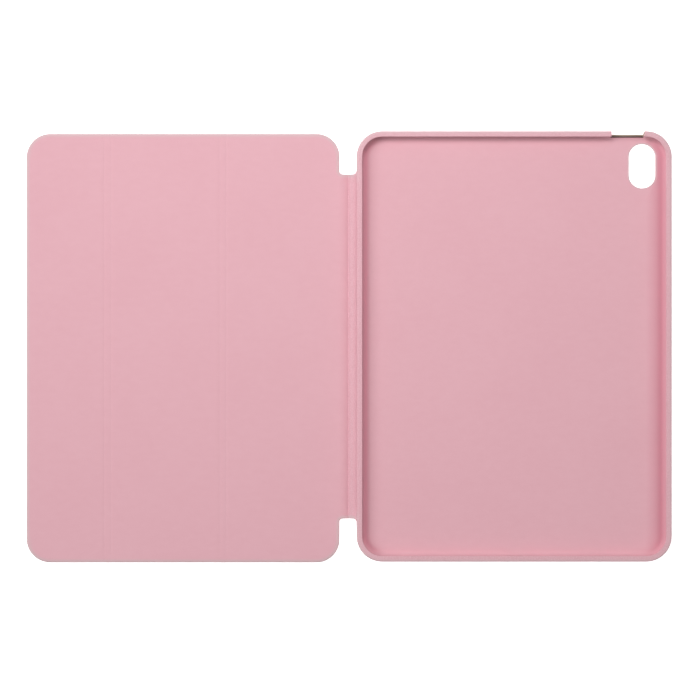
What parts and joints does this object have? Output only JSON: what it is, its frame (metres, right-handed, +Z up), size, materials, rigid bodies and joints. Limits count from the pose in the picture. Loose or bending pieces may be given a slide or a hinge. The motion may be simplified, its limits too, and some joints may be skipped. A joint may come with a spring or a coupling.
{
  "type": "tablet case",
  "caption": "Folding tablet case lying open: a rigid wrapped tray with a camera window, a creased spine and a stiff cover that folds into panels.",
  "frame": {"origin": "centre of the open case's bounding box, on the surface it lies on", "axes": "+X from the cover's free edge across the spine to the tray's far side, +Y towards the tablet's top edge with the camera window, +Z up out of the tray"},
  "size_m": [0.3792, 0.2535, 0.0084],
  "materials": {
    "leather": "fine grained pink leather-look skin, satin",
    "microfibre": "short soft pink microfibre, matt",
    "moulded_core": "taupe moulded plastic, matt, seen only at cut edges",
    "stiff_board": "plain grey fibreboard",
    "magnet": "nickel plated, satin",
    "steel": "plain rolled steel strip"
  },
  "bodies": {
    "tray": {"tray_skin": "leather", "tray_core": "moulded_core", "tray_lining": "microfibre"},
    "spine_inner": {"spine_inner_skin": "leather", "spine_inner_board": "stiff_board", "spine_inner_lining": "microfibre"},
    "spine_outer": {"spine_outer_skin": "leather", "spine_outer_board": "stiff_board", "spine_outer_lining": "microfibre"},
    "panel_3": {"panel_3_skin": "leather", "panel_3_board": "stiff_board", "panel_3_lining": "microfibre", "steel_strip": "steel"},
    "web_2": {"web_2_skin": "leather", "web_2_lining": "microfibre"},
    "panel_2": {"panel_2_skin": "leather", "panel_2_board": "stiff_board", "panel_2_lining": "microfibre"},
    "web_1": {"web_1_skin": "leather", "web_1_lining": "microfibre"},
    "panel_1": {"panel_1_skin": "leather", "panel_1_board": "stiff_board", "panel_1_lining": "microfibre", "closing_magnet_bars": "magnet", "wake_magnet": "magnet"}
  },
  "joints": [
    {"name": "spine_root", "type": "hinge", "parent": "tray", "child": "spine_inner", "pos_m": [0.0043, 0, 0.0006], "axis": [0, 1, 0], "range_deg": [-155, 80]},
    {"name": "spine_crease", "type": "hinge", "parent": "spine_inner", "child": "spine_outer", "pos_m": [-0.0004, 0, 0.0006], "axis": [0, 1, 0], "range_deg": [-15, 20]},
    {"name": "cover_hinge", "type": "hinge", "parent": "spine_outer", "child": "panel_3", "pos_m": [-0.0048, 0, 0.00105], "axis": [0, 1, 0], "range_deg": [-10, 80]},
    {"name": "fold_2", "type": "hinge", "parent": "panel_3", "child": "web_2", "pos_m": [-0.0724, 0, 0.00105], "axis": [0, -1, 0], "range_deg": [-82, 85]},
    {"name": "fold_2_far", "type": "hinge", "parent": "web_2", "child": "panel_2", "pos_m": [-0.0752, 0, 0.00105], "axis": [0, -1, 0], "range_deg": [-82, 85]},
    {"name": "fold_1", "type": "hinge", "parent": "panel_2", "child": "web_1", "pos_m": [-0.1404, 0, 0.00105], "axis": [0, 1, 0], "range_deg": [-85, 85]},
    {"name": "fold_1_far", "type": "hinge", "parent": "web_1", "child": "panel_1", "pos_m": [-0.1432, 0, 0.00105], "axis": [0, 1, 0], "range_deg": [-85, 85]}
  ],
  "couplings": [
    {"joint": "fold_2_far", "follows": "fold_2", "ratio": 1},
    {"joint": "fold_1_far", "follows": "fold_1", "ratio": 1}
  ]
}
